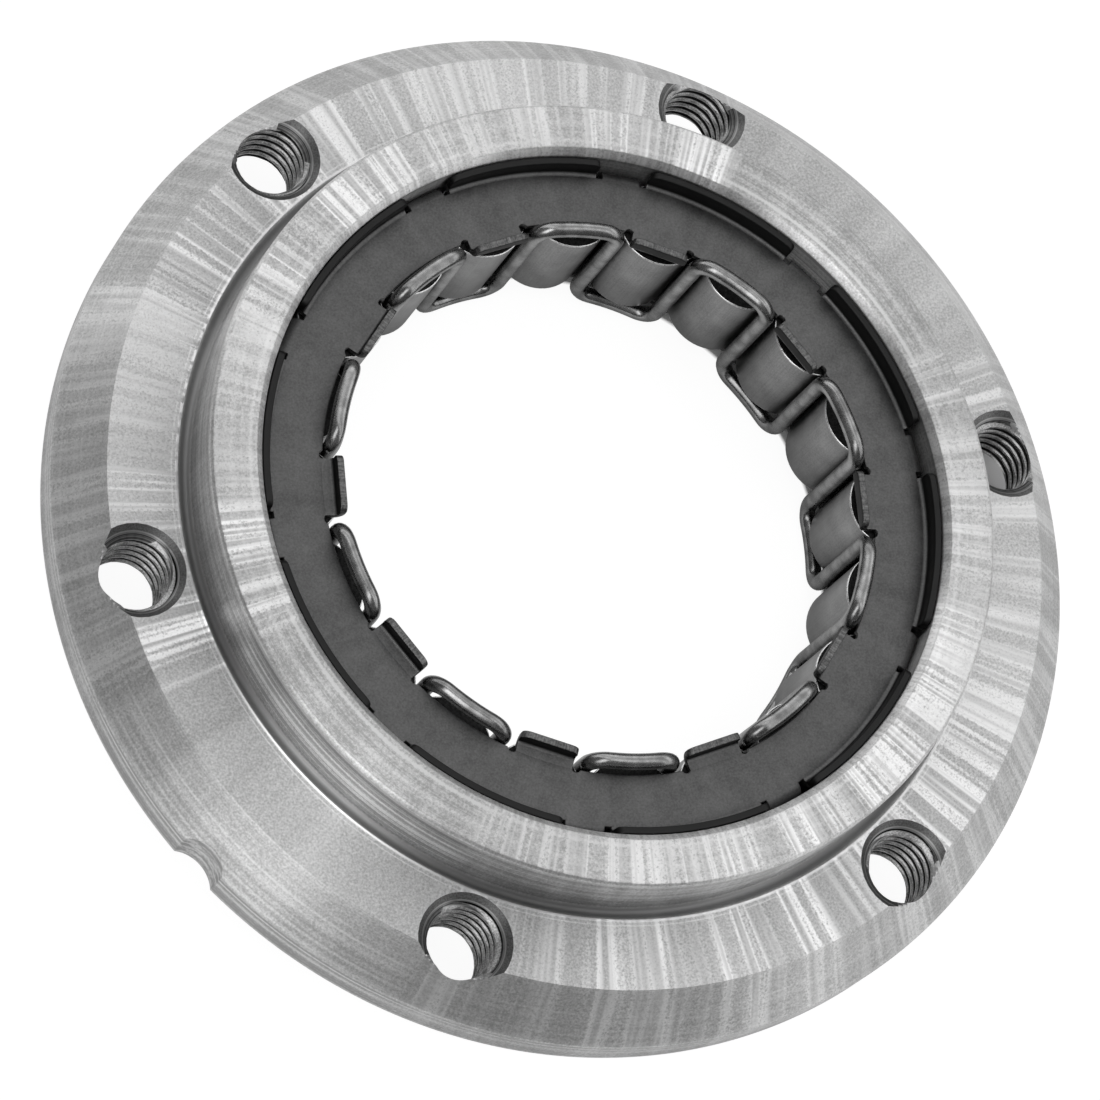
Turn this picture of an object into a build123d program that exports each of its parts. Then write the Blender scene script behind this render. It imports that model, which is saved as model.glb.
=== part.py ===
from build123d import *
from math import asin, atan2, cos, degrees, hypot, pi, radians, sin
import os

# Sprag clutch for a starter drive. Lengths are millimetres and angles are degrees.
# +Z runs along the clutch axis from the mounting side to the hub face, and the
# origin is the centre of the locating register's face, on which the clutch stands.

# Outer race, a ring turned from one steel forging
bore_diameter = 69.5
bore_chamfer = 0.7
hub_wall = 5.25
hub_height = 7.0
flange_width = 12.5
flange_thickness = 9.0
rim_height = 4.0
rim_bevel_width = 4.35
register_wall = 6.25
register_height = 2.0
edge_break = 0.3
relief_width = 1.3
relief_depth = 0.5
relief_slope = 0.4

# Screw holes round the flange, for M8 screws from the mounting side
screw_count = 6
screw_hub_distance = 6.3
screw_diameter = 8.0
screw_entry_chamfer = 0.7
screw_exit_chamfer = 0.4

# Timing notch in the rim
notch_angle = 211.3
notch_width = 5.1
notch_depth = 1.0

# Sprags
sprag_count = 20
sprag_length = 10.8
sprag_height = 8.45
sprag_inner_cam_radius = 4.6
sprag_outer_cam_radius = 3.9
sprag_cam_offset = 0.6
sprag_cam_half_angle = 55.0
sprag_race_gap = 0.05
sprag_end_gap = 0.2

# Cage, two rings pressed from sheet
sheet_thickness = 0.7
bend_radius = 0.4
bend_steps = 2
cage_race_gap = 0.10
cage_tip_distance = 2.05
tab_setback = 1.15
tab_width = 5.8
tab_height = 1.4
tab_corner_cut = 0.7
lip_height = 1.9
post_sprag_gap = 0.41
post_lip_gap = 0.7
lip_corner_cut = 0.8
post_seat_gap = 0.05

# Energizing spring, one round wire bent to and fro between the sprags
wire_diameter = 1.6
wire_facets = 8
wire_corner_steps = 3
wire_cage_gap = 0.14
wire_plate_gap = 0.23
wire_corner_radius = 1.8
wire_end_gap = 0.3
wire_end_angle = 207.0

# Worked out from the sizes above
bore_radius = bore_diameter / 2
hub_radius = bore_radius + hub_wall
race_radius = hub_radius + flange_width
flange_face_radius = race_radius - rim_bevel_width
register_radius = bore_radius + register_wall
screw_circle_radius = hub_radius + screw_hub_distance
flange_top = register_height + flange_thickness
race_height = flange_top + hub_height
middle = race_height / 2

pitch_angle = 360 / sprag_count
loop_angle = 2 * pitch_angle
loop_count = sprag_count // 2
sprag_outer_centre = bore_radius - sprag_race_gap - sprag_outer_cam_radius
sprag_tip_radius = bore_radius - sprag_race_gap - sprag_height
sprag_inner_centre = sprag_tip_radius + sprag_inner_cam_radius

plate_inside = sprag_length / 2 + sprag_end_gap
plate_outside = plate_inside + sheet_thickness
outside_bend = bend_radius + sheet_thickness
cage_outer_radius = bore_radius - cage_race_gap
cage_inner_radius = sprag_tip_radius + cage_tip_distance
lip_bend_centre = cage_outer_radius - outside_bend
post_inner_radius = cage_outer_radius - sheet_thickness
cam_reach = post_inner_radius - sprag_outer_centre
cam_side = sprag_cam_offset + (sprag_outer_cam_radius**2 - cam_reach**2) ** 0.5
post_width = 2 * (post_inner_radius * sin(radians(pitch_angle / 2)) - cam_side - post_sprag_gap)
post_outer_face = (cage_outer_radius**2 - post_width**2 / 4) ** 0.5
lip_gap_width = post_width + 2 * post_lip_gap
tab_outer_radius = cage_inner_radius - tab_setback
tab_bend_centre = tab_outer_radius + bend_radius
root_length = tab_setback

wire_radius = wire_diameter / 2
leg_radius = cage_inner_radius - wire_cage_gap - wire_radius
run_radius = (leg_radius**2 - wire_corner_radius**2) ** 0.5
run_height = plate_outside + wire_plate_gap + wire_radius
corner_angle = degrees(atan2(wire_corner_radius, run_radius))


def polar(radius, angle, height=0.0):
    """Point at a radius, an angle and a height about the clutch axis."""
    return Vector(radius * cos(radians(angle)), radius * sin(radians(angle)), height)


def arc_angle(width, radius):
    """Angle that a width takes up at a radius."""
    return degrees(2 * asin(width / 2 / radius))


def section_face(edges):
    """Face in the upright plane of radius and height, from edges in its own x and y."""
    return Plane.XZ * make_face(Curve() + edges)


def sector(face, angle, width_angle):
    """Turn a section about the clutch axis, centred on an angle."""
    solid = revolve(face, axis=Axis.Z, revolution_arc=width_angle)
    return Rot(0, 0, angle - width_angle / 2) * solid


def screw_tool():
    """Hole with a countersink at both faces of the flange."""
    radius = screw_diameter / 2
    entry = flange_top - screw_entry_chamfer
    tool = Pos(0, 0, flange_top / 2) * Cylinder(radius, flange_top + 2)
    wide = radius + 2 * screw_entry_chamfer
    tool += Pos(0, 0, entry + screw_entry_chamfer) * Cone(radius, wide, 2 * screw_entry_chamfer)
    wide = radius + 2 * screw_exit_chamfer
    tool += Pos(0, 0, register_height) * Cone(wide, radius, 2 * screw_exit_chamfer)
    return tool


def notch_tool():
    """Cutter for the shallow round notch down the rim."""
    cutter_radius = (notch_width**2 / 4 + notch_depth**2) / (2 * notch_depth)
    place = polar(race_radius - notch_depth + cutter_radius, notch_angle, flange_top / 2)
    return Pos(*place) * Cylinder(cutter_radius, flange_top + 2)


def outer_race():
    """Flanged ring with its hub, bore, locating register, screw holes and notch."""
    relief_floor = flange_top - relief_depth
    outline = Polyline(
        (bore_radius, bore_chamfer),
        (bore_radius + bore_chamfer, 0),
        (register_radius - edge_break, 0),
        (register_radius, edge_break),
        (register_radius, register_height),
        (race_radius, register_height),
        (race_radius, register_height + rim_height),
        (flange_face_radius, flange_top),
        (hub_radius + relief_width, flange_top),
        (hub_radius + relief_width - relief_slope, relief_floor),
        (hub_radius, relief_floor),
        (hub_radius, race_height - edge_break),
        (hub_radius - edge_break, race_height),
        (bore_radius + bore_chamfer, race_height),
        (bore_radius, race_height - bore_chamfer),
        (bore_radius, bore_chamfer),
    )
    race = revolve(section_face([outline]), axis=Axis.Z)
    tool = screw_tool()
    for place in PolarLocations(screw_circle_radius, screw_count):
        race -= place * tool
    return race - notch_tool()


def upright_section(bend_centre, side, height):
    """Section of a wall that the sheet turns up into, outside its bend or inside it.

    The outside of the bend is drawn in short chords and the inside as one corner.
    The side is 1 for a wall outside the bend's centre and -1 for one inside it, and
    the flat root before the bend is long enough to reach the ring from a tab.
    """
    root = bend_centre - side * root_length
    top = sheet_thickness + height
    points = [(root, 0)]
    for step in range(bend_steps + 1):
        turn = pi / 2 * step / bend_steps
        along = bend_centre + side * outside_bend * sin(turn)
        points.append((along, outside_bend * (1 - cos(turn))))
    points.append((bend_centre + side * outside_bend, top))
    points.append((bend_centre + side * bend_radius, top))
    points.append((bend_centre + side * bend_radius, sheet_thickness))
    points.append((root, sheet_thickness))
    return section_face([Polyline(*points, close=True)])


def cut_corners(wall, height, corner_cut):
    """Wall with the two free corners of its top edge cut off."""
    top = sheet_thickness + height
    corners = [edge for edge in wall.edges().filter_by(GeomType.LINE) if edge.center().Z > top - 1e-4]
    edges = [edge for edge in corners if abs(edge.length - sheet_thickness) < 1e-4]
    return chamfer(edges, corner_cut)


def lip():
    """Curved wall round the outer edge of the sheet, centred on angle 0."""
    width_angle = loop_angle - arc_angle(lip_gap_width, cage_outer_radius)
    wall = sector(upright_section(lip_bend_centre, 1, lip_height), 0, width_angle)
    return cut_corners(wall, lip_height, lip_corner_cut)


def tab():
    """Flat tab at the inner edge of the sheet, centred on angle 0."""
    wall = extrude(upright_section(tab_bend_centre, -1, tab_height), tab_width / 2, both=True)
    return cut_corners(wall, tab_height, tab_corner_cut)


def post():
    """Flat bar that the sheet turns down into, to reach the other ring, on angle 0."""
    bar_bend_centre = post_outer_face - outside_bend
    section = upright_section(bar_bend_centre, 1, 2 * plate_inside)
    bar = extrude(section, post_width / 2, both=True)
    return Pos(0, 0, sheet_thickness) * mirror(bar, about=Plane.XY)


def post_seat():
    """Part of the sheet's edge that meets the foot of a post, on angle 0."""
    reach = post_outer_face - sheet_thickness - post_seat_gap
    width = reach - cage_inner_radius - edge_break
    return Pos(reach - width / 2, 0, sheet_thickness / 2) * Box(width, post_width, sheet_thickness)


def pressed_ring(held):
    """Cage ring lying on its inner face, with its lips turned up.

    What is held is the shape in each gap between two lips: a post or its seat.
    """
    plate = Cylinder(lip_bend_centre, sheet_thickness) - Cylinder(cage_inner_radius, sheet_thickness)
    one_lip = lip()
    pieces = []
    for index in range(loop_count):
        turn = index * loop_angle
        pieces.append(Rot(0, 0, turn + loop_angle / 2) * one_lip)
        pieces.append(Rot(0, 0, turn) * held)
    return Pos(0, 0, sheet_thickness / 2) * plate + pieces


def upper_cage_ring():
    """Ring on the hub side, with the posts and a tab over every second sprag."""
    one_tab = tab()
    tabs = [Rot(0, 0, 1.5 * pitch_angle + index * loop_angle) * one_tab for index in range(loop_count)]
    return Pos(0, 0, middle + plate_inside) * (pressed_ring(post()) + tabs)


def lower_cage_ring():
    """Ring on the mounting side, held at the feet of the posts."""
    return Pos(0, 0, middle - plate_inside) * mirror(pressed_ring(post_seat()), about=Plane.XY)


def spring_corner(angle, side, level):
    """Points of the quarter bend between a leg and the run beside it, leg end first.

    The side is 1 where the run lies anticlockwise of the leg, and the level is 1 on
    the hub side.
    """
    run_angle = angle + side * corner_angle
    along = polar(1, run_angle + 90) * side
    on_run = polar(run_radius, run_angle, middle + level * run_height)
    centre = on_run - Vector(0, 0, level * wire_corner_radius)
    points = []
    for step in range(wire_corner_steps + 1):
        turn = pi / 2 * step / wire_corner_steps
        outwards = Vector(0, 0, level * sin(turn)) - along * cos(turn)
        points.append(centre + outwards * wire_corner_radius)
    return points


def spring_path():
    """Centre line of the spring, from one butted end round to the other."""
    end_angle = degrees(wire_end_gap / 2 / run_radius)
    low = middle - run_height
    points = [polar(run_radius, wire_end_angle + end_angle, low)]
    for leg in range(sprag_count):
        angle = wire_end_angle + pitch_angle / 2 + leg * pitch_angle
        level = -1 if leg % 2 == 0 else 1
        points += spring_corner(angle, -1, level)[::-1]
        points += spring_corner(angle, 1, -level)
    points.append(polar(run_radius, wire_end_angle - end_angle, low))
    return Wire(Polyline(*points).edges())


def energizing_spring():
    """Wire swept along its centre line."""
    path = spring_path()
    section = Plane(origin=path @ 0, z_dir=path % 0) * RegularPolygon(wire_radius, wire_facets)
    spring = sweep(section, path=path, transition=Transition.RIGHT)
    print("spring wire length", round(path.length, 1), "volume", round(spring.volume, 1))
    return spring


def sprag():
    """Strut with a round cam face at each end, on angle 0."""
    spread = radians(sprag_cam_half_angle)
    inner_x = sprag_inner_centre - sprag_inner_cam_radius * cos(spread)
    inner_y = sprag_inner_cam_radius * sin(spread)
    outer_x = sprag_outer_centre + sprag_outer_cam_radius * cos(spread)
    outer_y = sprag_outer_cam_radius * sin(spread)
    outer_left = (outer_x, sprag_cam_offset + outer_y)
    outer_right = (outer_x, sprag_cam_offset - outer_y)
    inner_left = (inner_x, inner_y)
    inner_right = (inner_x, -inner_y)
    outline = [
        ThreePointArc(inner_left, (sprag_tip_radius, 0), inner_right),
        Line(inner_right, outer_right),
        ThreePointArc(outer_right, (bore_radius - sprag_race_gap, sprag_cam_offset), outer_left),
        Line(outer_left, inner_left),
    ]
    body = extrude(make_face(Curve() + outline), sprag_length)
    return Pos(0, 0, middle - sprag_length / 2) * body


def main():
    """Build each piece and write it to its own file."""
    os.makedirs("parts", exist_ok=True)
    nodes = {
        "outer_race": outer_race(),
        "upper_cage_ring": upper_cage_ring(),
        "lower_cage_ring": lower_cage_ring(),
        "energizing_spring": energizing_spring(),
    }
    strut = sprag()
    for index in range(sprag_count):
        angle = pitch_angle / 2 + index * pitch_angle
        nodes[f"sprag_{index + 1:02d}"] = Rot(0, 0, angle) * strut
    for name, shape in nodes.items():
        export_step(shape, f"parts/{name}.step")
    lean = hypot(sprag_outer_centre, sprag_cam_offset)
    print("sprag pivot radius", round(lean, 4), "tip radius", round(sprag_tip_radius, 3))


main()
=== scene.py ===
import bmesh
import bpy
import numpy as np
from mathutils import Matrix, Vector


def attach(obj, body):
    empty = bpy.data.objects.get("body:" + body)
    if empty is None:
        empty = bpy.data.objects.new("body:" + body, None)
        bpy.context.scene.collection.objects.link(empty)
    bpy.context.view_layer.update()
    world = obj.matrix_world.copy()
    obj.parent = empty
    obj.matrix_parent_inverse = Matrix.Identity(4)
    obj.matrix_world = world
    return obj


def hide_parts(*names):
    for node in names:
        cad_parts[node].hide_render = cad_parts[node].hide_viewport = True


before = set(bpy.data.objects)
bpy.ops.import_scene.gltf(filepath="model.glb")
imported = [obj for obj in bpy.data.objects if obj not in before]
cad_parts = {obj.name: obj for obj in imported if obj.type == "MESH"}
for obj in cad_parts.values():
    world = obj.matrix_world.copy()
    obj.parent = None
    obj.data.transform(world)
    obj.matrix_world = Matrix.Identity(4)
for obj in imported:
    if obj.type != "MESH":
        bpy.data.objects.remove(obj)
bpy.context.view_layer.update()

# Outer race. One ring of bearing steel, turned from a forging: a flange with a
# bevelled rim, a hub, a ground bore and a short register behind. Six M8 screws
# from the rotor's side hold it by the threads in its flange.
MM = 0.001
bore_r, hub_r, rim_r, register_r = 34.75, 40.0, 52.5, 41.0
face_z, hub_z, back_z, bevel_r, rim_z = 11.0, 18.0, 2.0, 48.15, 6.0
screw_r, screw_circle, entry_cut, exit_cut = 4.0, 46.3, 0.7, 0.4
thread_pitch, thread_depth, thread_phase = 1.25, 0.60, 0.7
crest_half, flank_slope = 0.156, 1.732
notch_at, notch_half, notch_depth = np.radians(211.3), 2.55, 1.0
rim_round = 0.14
patch_half, screw_step = 8.0, 60
view_way = (0.824, 0.566, 0.0)


def rim_radius(angle):
    """Radius of the rim at an azimuth: the full radius, or the near wall of the notch's
    round cutter where that is smaller. The cutter's circle is met along each ray."""
    cutter = (notch_half**2 + notch_depth**2) / (2 * notch_depth)
    centre = rim_r - notch_depth + cutter
    off = (angle - notch_at + np.pi) % (2 * np.pi) - np.pi
    inside = np.clip(cutter**2 - (centre * np.sin(off)) ** 2, 0, None)
    near = np.where(np.abs(off) < 0.2, centre * np.cos(off) - np.sqrt(inside), rim_r)
    return np.where((inside > 0) & (near < rim_r), near, rim_r)


def top_height(r):
    """Height of the flange's upper side: flat out to the bevel, then a straight cone
    down to the rim band's upper edge."""
    slope = (face_z - rim_z) / (rim_r - bevel_r)
    return np.where(r > bevel_r, face_z - (r - bevel_r) * slope, face_z)


def softened(points, radius, steps=3):
    """Profile with each inner corner replaced by a small arc: points on the two sides at
    an equal distance from the corner, joined by a quadratic curve through it."""
    points = np.asarray(points, float)
    out = [points[0]]
    for before, corner, after in zip(points[:-2], points[1:-1], points[2:]):
        back, on = before - corner, after - corner
        reach = min(radius, 0.4 * np.linalg.norm(back), 0.4 * np.linalg.norm(on))
        start = corner + back / np.linalg.norm(back) * reach
        end = corner + on / np.linalg.norm(on) * reach
        t = np.linspace(0, 1, steps + 1)[:, None]
        out.extend((1 - t) ** 2 * start + 2 * t * (1 - t) * corner + t**2 * end)
    out.append(points[-1])
    return np.array(out)


class Shell:
    """Grids of points gathered into one mesh, whose touching edges are then merged."""

    def __init__(self):
        self.points, self.quads, self.slots, self.count = [], [], [], 0

    def grid(self, x, y, z, wrap=False, slots=0):
        """Add a surface given as three arrays of rows by columns, closing the columns on
        themselves when asked. The slots say which material each row of faces has, or
        each single face."""
        rows, columns = x.shape
        index = np.arange(rows * columns).reshape(rows, columns) + self.count
        if wrap:
            index = np.hstack([index, index[:, :1]])
        corners = (index[:-1, :-1], index[:-1, 1:], index[1:, 1:], index[1:, :-1])
        self.quads.append(np.stack(corners, -1).reshape(-1, 4))
        slots = np.asarray(slots)
        slots = slots[:, None] if slots.ndim == 1 else slots
        self.slots.append(np.broadcast_to(slots, corners[0].shape).ravel())
        self.points.append(np.stack([x, y, z], -1).reshape(-1, 3))
        self.count += rows * columns

    def piece(self, name, materials, body, node=None, sharp=30.0, merge=0.0005):
        """Turn the gathered grids into a closed, outward-facing mesh on a body."""
        mesh = bpy.data.meshes.new(name)
        points = np.concatenate(self.points) * MM
        mesh.from_pydata(points.tolist(), [], np.concatenate(self.quads).tolist())
        mesh.polygons.foreach_set("material_index", np.concatenate(self.slots).astype(np.int32))
        tool = bmesh.new()
        tool.from_mesh(mesh)
        bmesh.ops.remove_doubles(tool, verts=tool.verts, dist=merge * MM)
        bmesh.ops.dissolve_degenerate(tool, edges=tool.edges, dist=merge * MM / 5)
        bmesh.ops.recalc_face_normals(tool, faces=tool.faces)
        tool.to_mesh(mesh)
        tool.free()
        mesh.polygons.foreach_set("use_smooth", np.ones(len(mesh.polygons), bool))
        mesh.set_sharp_from_angle(angle=np.radians(sharp))
        for material in materials:
            mesh.materials.append(material)
        made = bpy.data.objects.new(name, mesh)
        bpy.context.scene.collection.objects.link(made)
        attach(made, body)
        if node:
            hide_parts(node)
        return made


def put(socket, value, tree):
    """Join a value or another node's output to a socket."""
    if isinstance(value, bpy.types.NodeSocket):
        tree.links.new(value, socket)
    elif value is not None:
        socket.default_value = value


def node(tree, kind, inputs=(), out=0, **settings):
    """Add a shader node, set or join its inputs by place or by name, give one output."""
    made = tree.nodes.new("ShaderNode" + kind)
    for key, value in settings.items():
        setattr(made, key, value)
    pairs = inputs.items() if isinstance(inputs, dict) else enumerate(inputs)
    for key, value in pairs:
        put(made.inputs[key], value, tree)
    return made.outputs[out]


def maths(tree, kind, *values):
    """Result of one sum on values or other nodes' outputs."""
    return node(tree, "Math", values, operation=kind)


def ramp(tree, value, low, high, from_value=0.0, to_value=1.0):
    """Straight-line change of a value from one range to another, held at the ends."""
    return node(tree, "MapRange", (value, low, high, from_value, to_value))


def band(tree, value, low, rise, fall, high, top=1.0):
    """Full between two places on a value, nothing outside them: a ramp up times one down."""
    up, down = ramp(tree, value, low, rise, 0.0, top), ramp(tree, value, fall, high, 1.0, 0.0)
    return maths(tree, "MULTIPLY", up, down)


def blend(tree, share, one, two):
    """Colour that goes from one to two as the share rises."""
    made = tree.nodes.new("ShaderNodeMix")
    made.data_type = "RGBA"
    put(made.inputs[0], share, tree)
    put(made.inputs[6], one, tree)
    put(made.inputs[7], two, tree)
    return made.outputs[2]


def grey(level):
    """Colour without a tint."""
    return (level, level, level, 1.0)


def around_axis(tree):
    """Position about the clutch axis: the point, its radius, its height and the unit
    direction from the axis, which makes patterns in azimuth without a seam."""
    place = node(tree, "TexCoord", out=3)
    parts = tree.nodes.new("ShaderNodeSeparateXYZ")
    put(parts.inputs[0], place, tree)
    flat = node(tree, "CombineXYZ", (parts.outputs[0], parts.outputs[1], 0.0))
    radius = node(tree, "VectorMath", (flat,), operation="LENGTH", out=1)
    unit = node(tree, "VectorMath", (flat,), operation="NORMALIZE")
    return place, radius, parts.outputs[2], unit


def streaks(tree, unit, along, count, stretch, detail=3.0, rough=0.6):
    """Noise that changes fast round the axis and slowly along a length."""
    scaled = node(tree, "VectorMath", (unit, (count, count, count)), operation="MULTIPLY")
    shift = node(tree, "CombineXYZ", (0.0, 0.0, maths(tree, "MULTIPLY", along, stretch)))
    where = node(tree, "VectorMath", (scaled, shift), operation="ADD")
    return node(tree, "TexNoise", {"Vector": where, "Scale": 1.0, "Detail": detail, "Roughness": rough})


def grooves(tree, first, second, count, detail=2.0):
    """Noise in fine rings: it changes only with a radius and a height."""
    across, along = maths(tree, "MULTIPLY", first, count), maths(tree, "MULTIPLY", second, count)
    where = node(tree, "CombineXYZ", (across, along, 0.0))
    return node(tree, "TexNoise", {"Vector": where, "Scale": 1.0, "Detail": detail, "Roughness": 0.7})


def bumped(tree, height, depth):
    """Surface direction bent by a noise, as if it stood out by a depth."""
    return node(tree, "Bump", {"Strength": 1.0, "Distance": depth, "Height": height})


def metal(name, build):
    """Metal material whose colour, roughness and normal come from a function."""
    made = bpy.data.materials.new(name)
    made.use_nodes = True
    tree = made.node_tree
    tree.nodes.clear()
    shader = tree.nodes.new("ShaderNodeBsdfPrincipled")
    shader.inputs["Metallic"].default_value = 1.0
    out = tree.nodes.new("ShaderNodeOutputMaterial")
    tree.links.new(shader.outputs[0], out.inputs[0])
    for key, value in build(tree).items():
        put(shader.inputs[key], value, tree)
    return made


def leaning(tree, across, one, along, two):
    """Surface direction leant by two amounts along two directions."""
    straight = node(tree, "NewGeometry", out=1)
    first = node(tree, "VectorMath", {0: across, "Scale": one}, operation="SCALE")
    second = node(tree, "VectorMath", {0: along, "Scale": two}, operation="SCALE")
    lean = node(tree, "VectorMath", (first, second), operation="ADD")
    lean = node(tree, "VectorMath", (straight, lean), operation="ADD")
    return node(tree, "VectorMath", (lean,), operation="NORMALIZE")


def swing(tree, value, amount):
    """Turn a noise round its middle into a lean to either side."""
    return maths(tree, "MULTIPLY", maths(tree, "SUBTRACT", value, 0.5), amount)


def turned_steel(tree):
    """Bearing steel as the lathe left it. Its fine rings spread light along the radius.
    The tool's chatter leant the faces round the axis in narrow rays, in two wide sectors
    that leave out the stretches nearest and farthest along the view direction, and in
    those sectors the rays are painted near white as highlights. The walls are painted
    darker as shade, and so is the relief at the hub's foot, darkest on its floor. Two thin
    lines beside the relief on the flange are painted near white as highlights."""
    place, radius, height, unit = around_axis(tree)
    across = node(tree, "VectorMath", ((0.0, 0.0, 1.0), unit), operation="CROSS_PRODUCT")
    facing = tree.nodes.new("ShaderNodeSeparateXYZ")
    put(facing.inputs[0], node(tree, "TexCoord", out=1), tree)
    flat = ramp(tree, facing.outputs[2], 0.8, 0.98)
    wall = ramp(tree, maths(tree, "ABSOLUTE", facing.outputs[2]), 0.1, 0.3, 1.0, 0.0)
    hub = maths(tree, "MULTIPLY", flat, ramp(tree, height, 0.015, 0.017, 0.0, 0.5))
    hub = maths(tree, "MAXIMUM", hub, wall)
    profile = node(tree, "VectorMath", (node(tree, "NewGeometry", out=1), across), operation="CROSS_PRODUCT")
    along = maths(tree, "ADD", radius, maths(tree, "MULTIPLY", height, 4.0))
    rays = streaks(tree, unit, along, 28.0, 9.0, detail=2.5, rough=0.55)
    broad = streaks(tree, unit, along, 9.0, 20.0, detail=2.0)
    rings = grooves(tree, radius, height, 1400.0, detail=4.0)
    grain = node(tree, "TexNoise", {"Vector": place, "Scale": 4200.0, "Detail": 2.0, "Roughness": 0.7})
    rays = maths(tree, "ADD", rays, swing(tree, grain, 0.12))
    ridge = ramp(tree, maths(tree, "ABSOLUTE", maths(tree, "SUBTRACT", rays, 0.5)), 0.0, 0.09, 1.0, 0.0)
    lean = maths(tree, "MULTIPLY", ridge, ramp(tree, broad, 0.40, 0.60, 0.10, 0.25))
    # The sectors leave out the stretches nearest and farthest along the view direction; they place the
    # painted highlights and the painted shade below.
    between = node(tree, "VectorMath", (unit, view_way), operation="DOT_PRODUCT", out=1)
    sectors = ramp(tree, maths(tree, "ABSOLUTE", between), 0.925, 0.945, 1.0, 0.0)
    lean = maths(tree, "MULTIPLY", lean, sectors)
    lean = maths(tree, "MULTIPLY", lean, ramp(tree, flat, 0.0, 1.0, 0.15, 1.0))
    relief = band(tree, radius, 0.0399, 0.0401, 0.0411, 0.0413)
    relief = maths(tree, "MULTIPLY", relief, ramp(tree, height, 0.0107, 0.0110, 1.0, 0.0))
    lean = maths(tree, "MULTIPLY", lean, maths(tree, "SUBTRACT", 1.0, relief))
    tip = maths(tree, "MULTIPLY", swing(tree, rings, 0.5), ramp(tree, hub, 0.0, 1.0, 0.08, 1.0))
    tone = maths(tree, "ADD", maths(tree, "MULTIPLY", grain, 0.65), maths(tree, "MULTIPLY", broad, 0.35))
    cone = maths(tree, "MULTIPLY", ramp(tree, radius, 0.04816, 0.04820), ramp(tree, height, 0.0060, 0.0061))
    brushed = maths(tree, "MAXIMUM", hub, maths(tree, "MULTIPLY", cone, 0.35))
    brushed = maths(tree, "MULTIPLY", brushed, ramp(tree, sectors, 0.0, 1.0, 2.2, 1.0))
    tone = maths(tree, "ADD", tone, maths(tree, "MULTIPLY", swing(tree, rings, 1.0), brushed))
    steel = blend(tree, ramp(tree, tone, 0.34, 0.66), grey(0.42), grey(0.82))
    # Painted shade: the walls darker in the sectors, the hub wall's upper part darker outside them, and the
    # cone darker in the sectors.
    upper = ramp(tree, height, 0.0154, 0.0155, 0.0, 0.40)
    upper = maths(tree, "MULTIPLY", upper, ramp(tree, sectors, 0.0, 1.0, 1.0, 0.0))
    dark = maths(tree, "ADD", maths(tree, "MULTIPLY", sectors, 0.27), upper)
    dark = maths(tree, "MULTIPLY", wall, dark)
    dark = maths(tree, "MULTIPLY", dark, ramp(tree, radius, 0.045, 0.046, 1.0, 0.3))
    dark = maths(tree, "ADD", dark, maths(tree, "MULTIPLY", maths(tree, "MULTIPLY", cone, sectors), 0.20))
    steel = blend(tree, dark, steel, grey(0.05))
    # Painted shade: the relief at the hub's foot painted dark grey, darkest on its floor.
    groove = blend(tree, ramp(tree, height, 0.01052, 0.0108), grey(0.20), grey(0.45))
    # Painted highlight: two thin lines beside the relief painted near white, the surface leant there too.
    edge_highlight = band(tree, radius, 0.0412, 0.0413, 0.0414, 0.0416)
    outer_edge_highlight = band(tree, radius, 0.0418, 0.0419, 0.0419, 0.0420, 0.4)
    edge_highlight = maths(tree, "MULTIPLY", maths(tree, "ADD", edge_highlight, outer_edge_highlight), ramp(tree, height, 0.0105, 0.0108))
    steel = blend(tree, edge_highlight, steel, grey(0.95))
    tip = maths(tree, "SUBTRACT", tip, maths(tree, "MULTIPLY", edge_highlight, 0.55))
    # Painted highlight: in the sectors the rays, and faintly all between them, painted near white on the flat
    # faces, the cone and the bore's upper edge.
    bright = maths(tree, "MULTIPLY", ridge, ramp(tree, broad, 0.36, 0.56, 0.30, 1.0))
    bright = maths(tree, "MULTIPLY", maths(tree, "ADD", bright, 0.10), sectors)
    mouth = ramp(tree, radius, 0.0353, 0.0354, 0.9, 0.0)
    mouth = maths(tree, "MULTIPLY", mouth, ramp(tree, height, 0.0172, 0.0173))
    clear = maths(tree, "MAXIMUM", ramp(tree, flat, 0.0, 1.0, 0.15, 0.9), maths(tree, "MULTIPLY", cone, 0.45))
    clear = maths(tree, "MAXIMUM", clear, mouth)
    bright = maths(tree, "MULTIPLY", bright, clear)
    bright = maths(tree, "MULTIPLY", bright, ramp(tree, grain, 0.3, 0.5, 0.5, 1.0))
    steel = blend(tree, bright, steel, grey(0.98))
    return {
        "Base Color": blend(tree, relief, steel, groove),
        "Roughness": 0.38,
        "Normal": leaning(tree, across, lean, profile, tip),
        "Anisotropic": 0.9,
        "Anisotropic Rotation": 0.25,
        "Tangent": node(tree, "Tangent", direction_type="RADIAL", axis="Z"),
    }


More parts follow.
